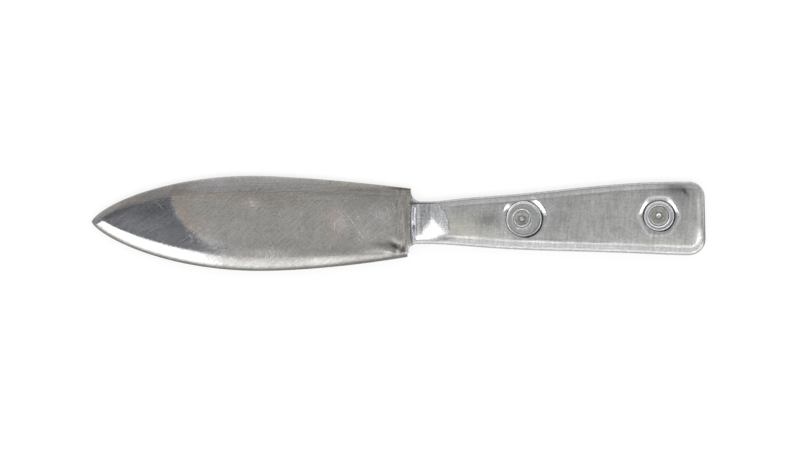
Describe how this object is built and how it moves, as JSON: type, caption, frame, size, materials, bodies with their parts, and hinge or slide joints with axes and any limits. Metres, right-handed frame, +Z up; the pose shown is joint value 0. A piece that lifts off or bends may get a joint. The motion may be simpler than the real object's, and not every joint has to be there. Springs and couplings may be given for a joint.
{
  "type": "fish knife",
  "caption": "Fish knife: leaf-shaped steel blade bevelled on both edges, its full tang riveted between two hollow pressed aluminium scales that form a flat tapering grip.",
  "frame": {"origin": "on the surface the knife lies on, under the middle of its overall length and width", "axes": "+X from the tip to the butt, +Y towards the back of the blade, +Z up from the surface towards the front scale"},
  "size_m": [0.2, 0.031, 0.0064],
  "materials": {
    "blade_steel": "worn satin steel, grey to taupe, with fine scratches",
    "front_scale_aluminium": "worn satin aluminium sheet",
    "back_scale_aluminium": "worn satin aluminium sheet",
    "packing_cement": "hidden resin and chalk cement",
    "fore_rivet_metal": "turned steel, rubbed",
    "fore_pin_metal": "turned steel, rough in the middle",
    "rear_rivet_metal": "turned steel, rubbed",
    "rear_pin_metal": "turned steel, slightly yellowed",
    "solder": "bright solder, lightly filed"
  },
  "bodies": {
    "root": {"blade": "blade_steel", "front_scale": "front_scale_aluminium", "back_scale": "back_scale_aluminium", "front_packing": "packing_cement", "back_packing": "packing_cement", "fore_rivet_sleeve": "fore_rivet_metal", "fore_rivet_pin": "fore_pin_metal", "rear_rivet_sleeve": "rear_rivet_metal", "rear_rivet_pin": "rear_pin_metal", "heel_solder": "solder"}
  },
  "joints": []
}
